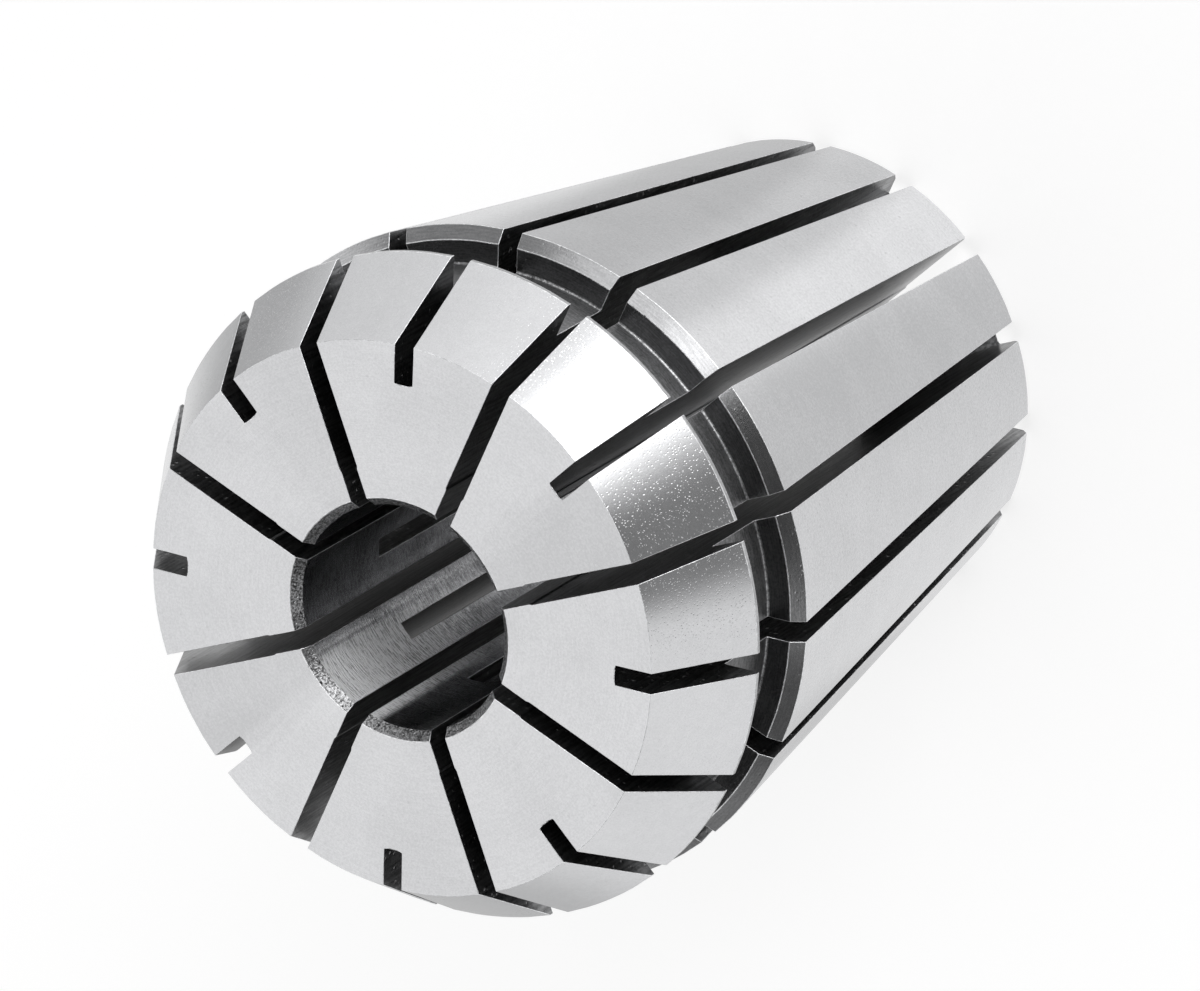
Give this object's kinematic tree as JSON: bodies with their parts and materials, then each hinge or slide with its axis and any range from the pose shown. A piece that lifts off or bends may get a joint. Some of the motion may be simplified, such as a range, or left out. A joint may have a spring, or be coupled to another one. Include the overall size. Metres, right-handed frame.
{
  "type": "er collet",
  "caption": "Spring collet turned and slotted from one piece of steel: a long rear taper, an extraction groove, a short nose cone and a through bore that grips a round shank.",
  "frame": {"origin": "centre of the small rear face, which the collet stands on", "axes": "+Z along the collet's axis, from the rear face to the nose; +X through the middle of a slot that is sawn from the nose"},
  "size_m": [0.033, 0.033, 0.04],
  "materials": {
    "steel": "hardened steel, finely ground outside, sawn in the slots and turned in the bore"
  },
  "bodies": {
    "root": {"collet": "steel"}
  },
  "joints": []
}
